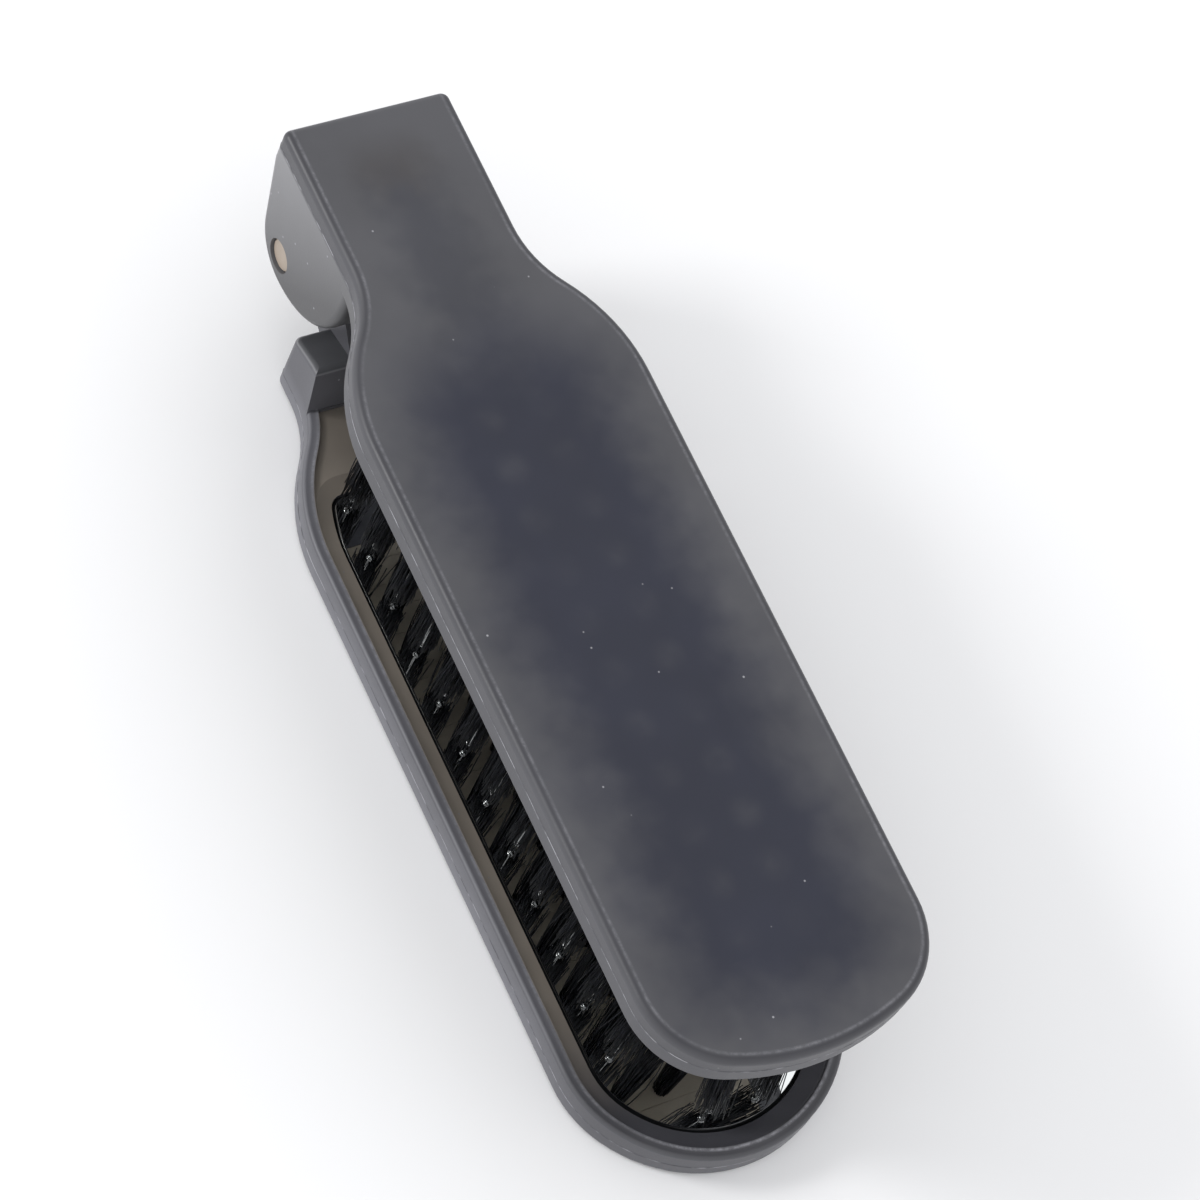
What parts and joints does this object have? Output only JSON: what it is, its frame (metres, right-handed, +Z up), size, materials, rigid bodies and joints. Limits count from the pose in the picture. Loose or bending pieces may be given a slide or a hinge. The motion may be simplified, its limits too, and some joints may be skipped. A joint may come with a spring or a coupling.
{
  "type": "folding hair brush with mirror",
  "caption": "Pocket hair brush in two smoky plastic halves hinged at the neck: a tufted bristle half with ball-tipped pins folds over a half that holds a mirror, and opens flat.",
  "frame": {"origin": "centre of the mirror half's flat outer face, under the middle of the closed brush; Z = 0 is the face that it lies on", "axes": "+Z up, from the mirror half to the brush half; +Y along the length to the hinge end; X across the width, with X = 0 the plane of symmetry; the hinge's axis lies along X"},
  "size_m": [0.038, 0.1315, 0.0336],
  "materials": {
    "brush_plastic": "frosted, translucent smoky grey",
    "mirror_plastic": "frosted, translucent smoky grey",
    "pin_plastic": "fine satin, undyed",
    "plate_plastic": "moulded satin black",
    "bristle_nylon": "glossy black filament",
    "ball_pin_nylon": "glossy black, ball tipped",
    "staple_brass": "cut strip",
    "mirror_glass": "clear, ground edge",
    "mirror_silver": "silvered back of the glass",
    "mirror_tape": "foam tape, hidden under the glass"
  },
  "bodies": {
    "mirror_half": {"mirror_frame": "mirror_plastic", "mirror_glass": "mirror_glass", "mirror_silver": "mirror_silver", "mirror_tape": "mirror_tape"},
    "brush_half": {"brush_shell": "brush_plastic", "hinge_pin": "pin_plastic", "bristle_plate": "plate_plastic", "tuft_row_01": "bristle_nylon", "tuft_row_02": "bristle_nylon", "tuft_row_03": "bristle_nylon", "tuft_row_04": "bristle_nylon", "tuft_row_05": "bristle_nylon", "tuft_row_06": "bristle_nylon", "tuft_row_07": "bristle_nylon", "tuft_row_08": "bristle_nylon", "tuft_row_09": "bristle_nylon", "tuft_row_10": "bristle_nylon", "tuft_row_11": "bristle_nylon", "tuft_row_12": "bristle_nylon", "tuft_row_13": "bristle_nylon", "ball_pin_row_01": "ball_pin_nylon", "ball_pin_row_02": "ball_pin_nylon", "ball_pin_row_03": "ball_pin_nylon", "ball_pin_row_04": "ball_pin_nylon", "ball_pin_row_05": "ball_pin_nylon", "ball_pin_row_06": "ball_pin_nylon", "ball_pin_row_07": "ball_pin_nylon", "ball_pin_row_08": "ball_pin_nylon", "ball_pin_row_09": "ball_pin_nylon", "ball_pin_row_10": "ball_pin_nylon", "ball_pin_row_11": "ball_pin_nylon", "ball_pin_row_12": "ball_pin_nylon", "ball_pin_row_13": "ball_pin_nylon", "tuft_staples": "staple_brass"}
  },
  "joints": [
    {"name": "fold_hinge", "type": "hinge", "parent": "mirror_half", "child": "brush_half", "pos_m": [0, 0.05785, 0.0168], "axis": [-1, 0, 0], "range_deg": [0, 180]}
  ]
}
